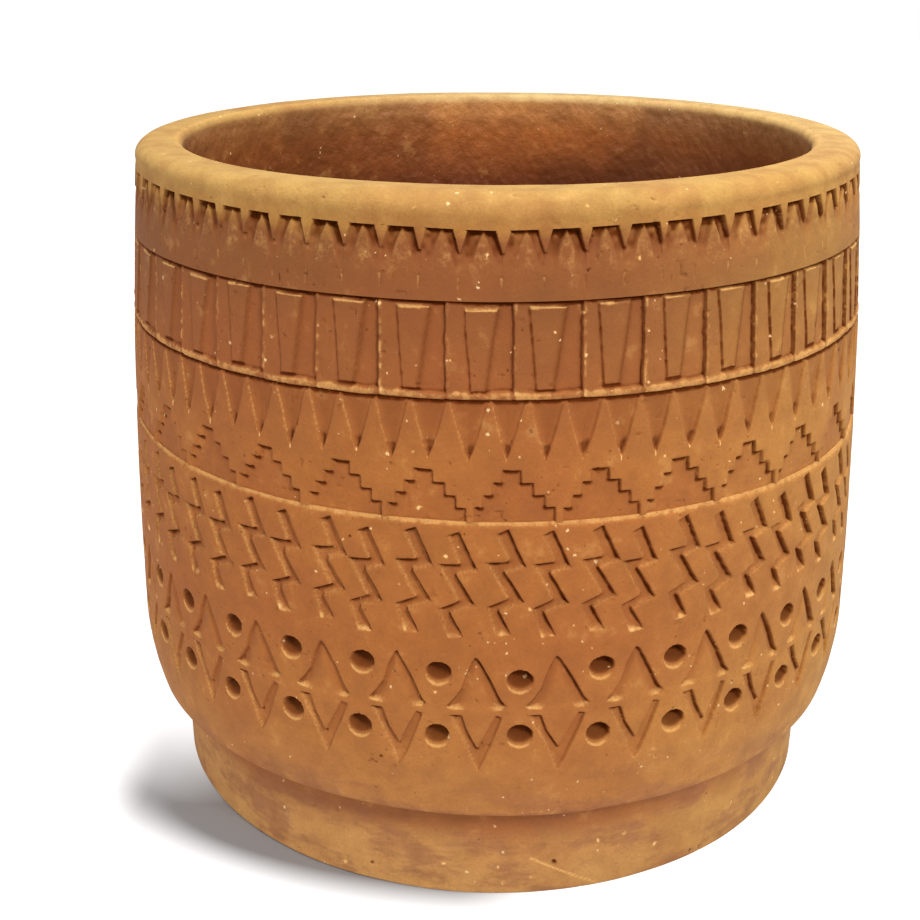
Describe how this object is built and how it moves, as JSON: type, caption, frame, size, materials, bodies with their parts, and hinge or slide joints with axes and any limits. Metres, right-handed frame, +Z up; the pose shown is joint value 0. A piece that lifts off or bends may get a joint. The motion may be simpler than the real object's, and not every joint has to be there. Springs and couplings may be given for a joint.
{
  "type": "planter pot",
  "caption": "Round hand-built clay planter with carved pattern bands, a broad rolled rim, an overhanging shoulder and a plain foot ring.",
  "frame": {"origin": "centre of the foot ring's resting face, on the pot's axis", "axes": "+Z up along the pot's axis, out of the mouth; X and Y level"},
  "size_m": [0.3, 0.3, 0.2602],
  "materials": {
    "foot_ring": "matt",
    "floor_disc": "matt",
    "bowl_course": "matt",
    "bolt_course": "matt",
    "step_course": "matt",
    "rib_course": "matt",
    "flame_course": "matt",
    "rim_roll": "matt"
  },
  "bodies": {
    "root": {"foot_ring": "foot_ring", "floor_disc": "floor_disc", "bowl_course": "bowl_course", "bolt_course": "bolt_course", "step_course": "step_course", "rib_course": "rib_course", "flame_course": "flame_course", "rim_roll": "rim_roll"}
  },
  "joints": []
}
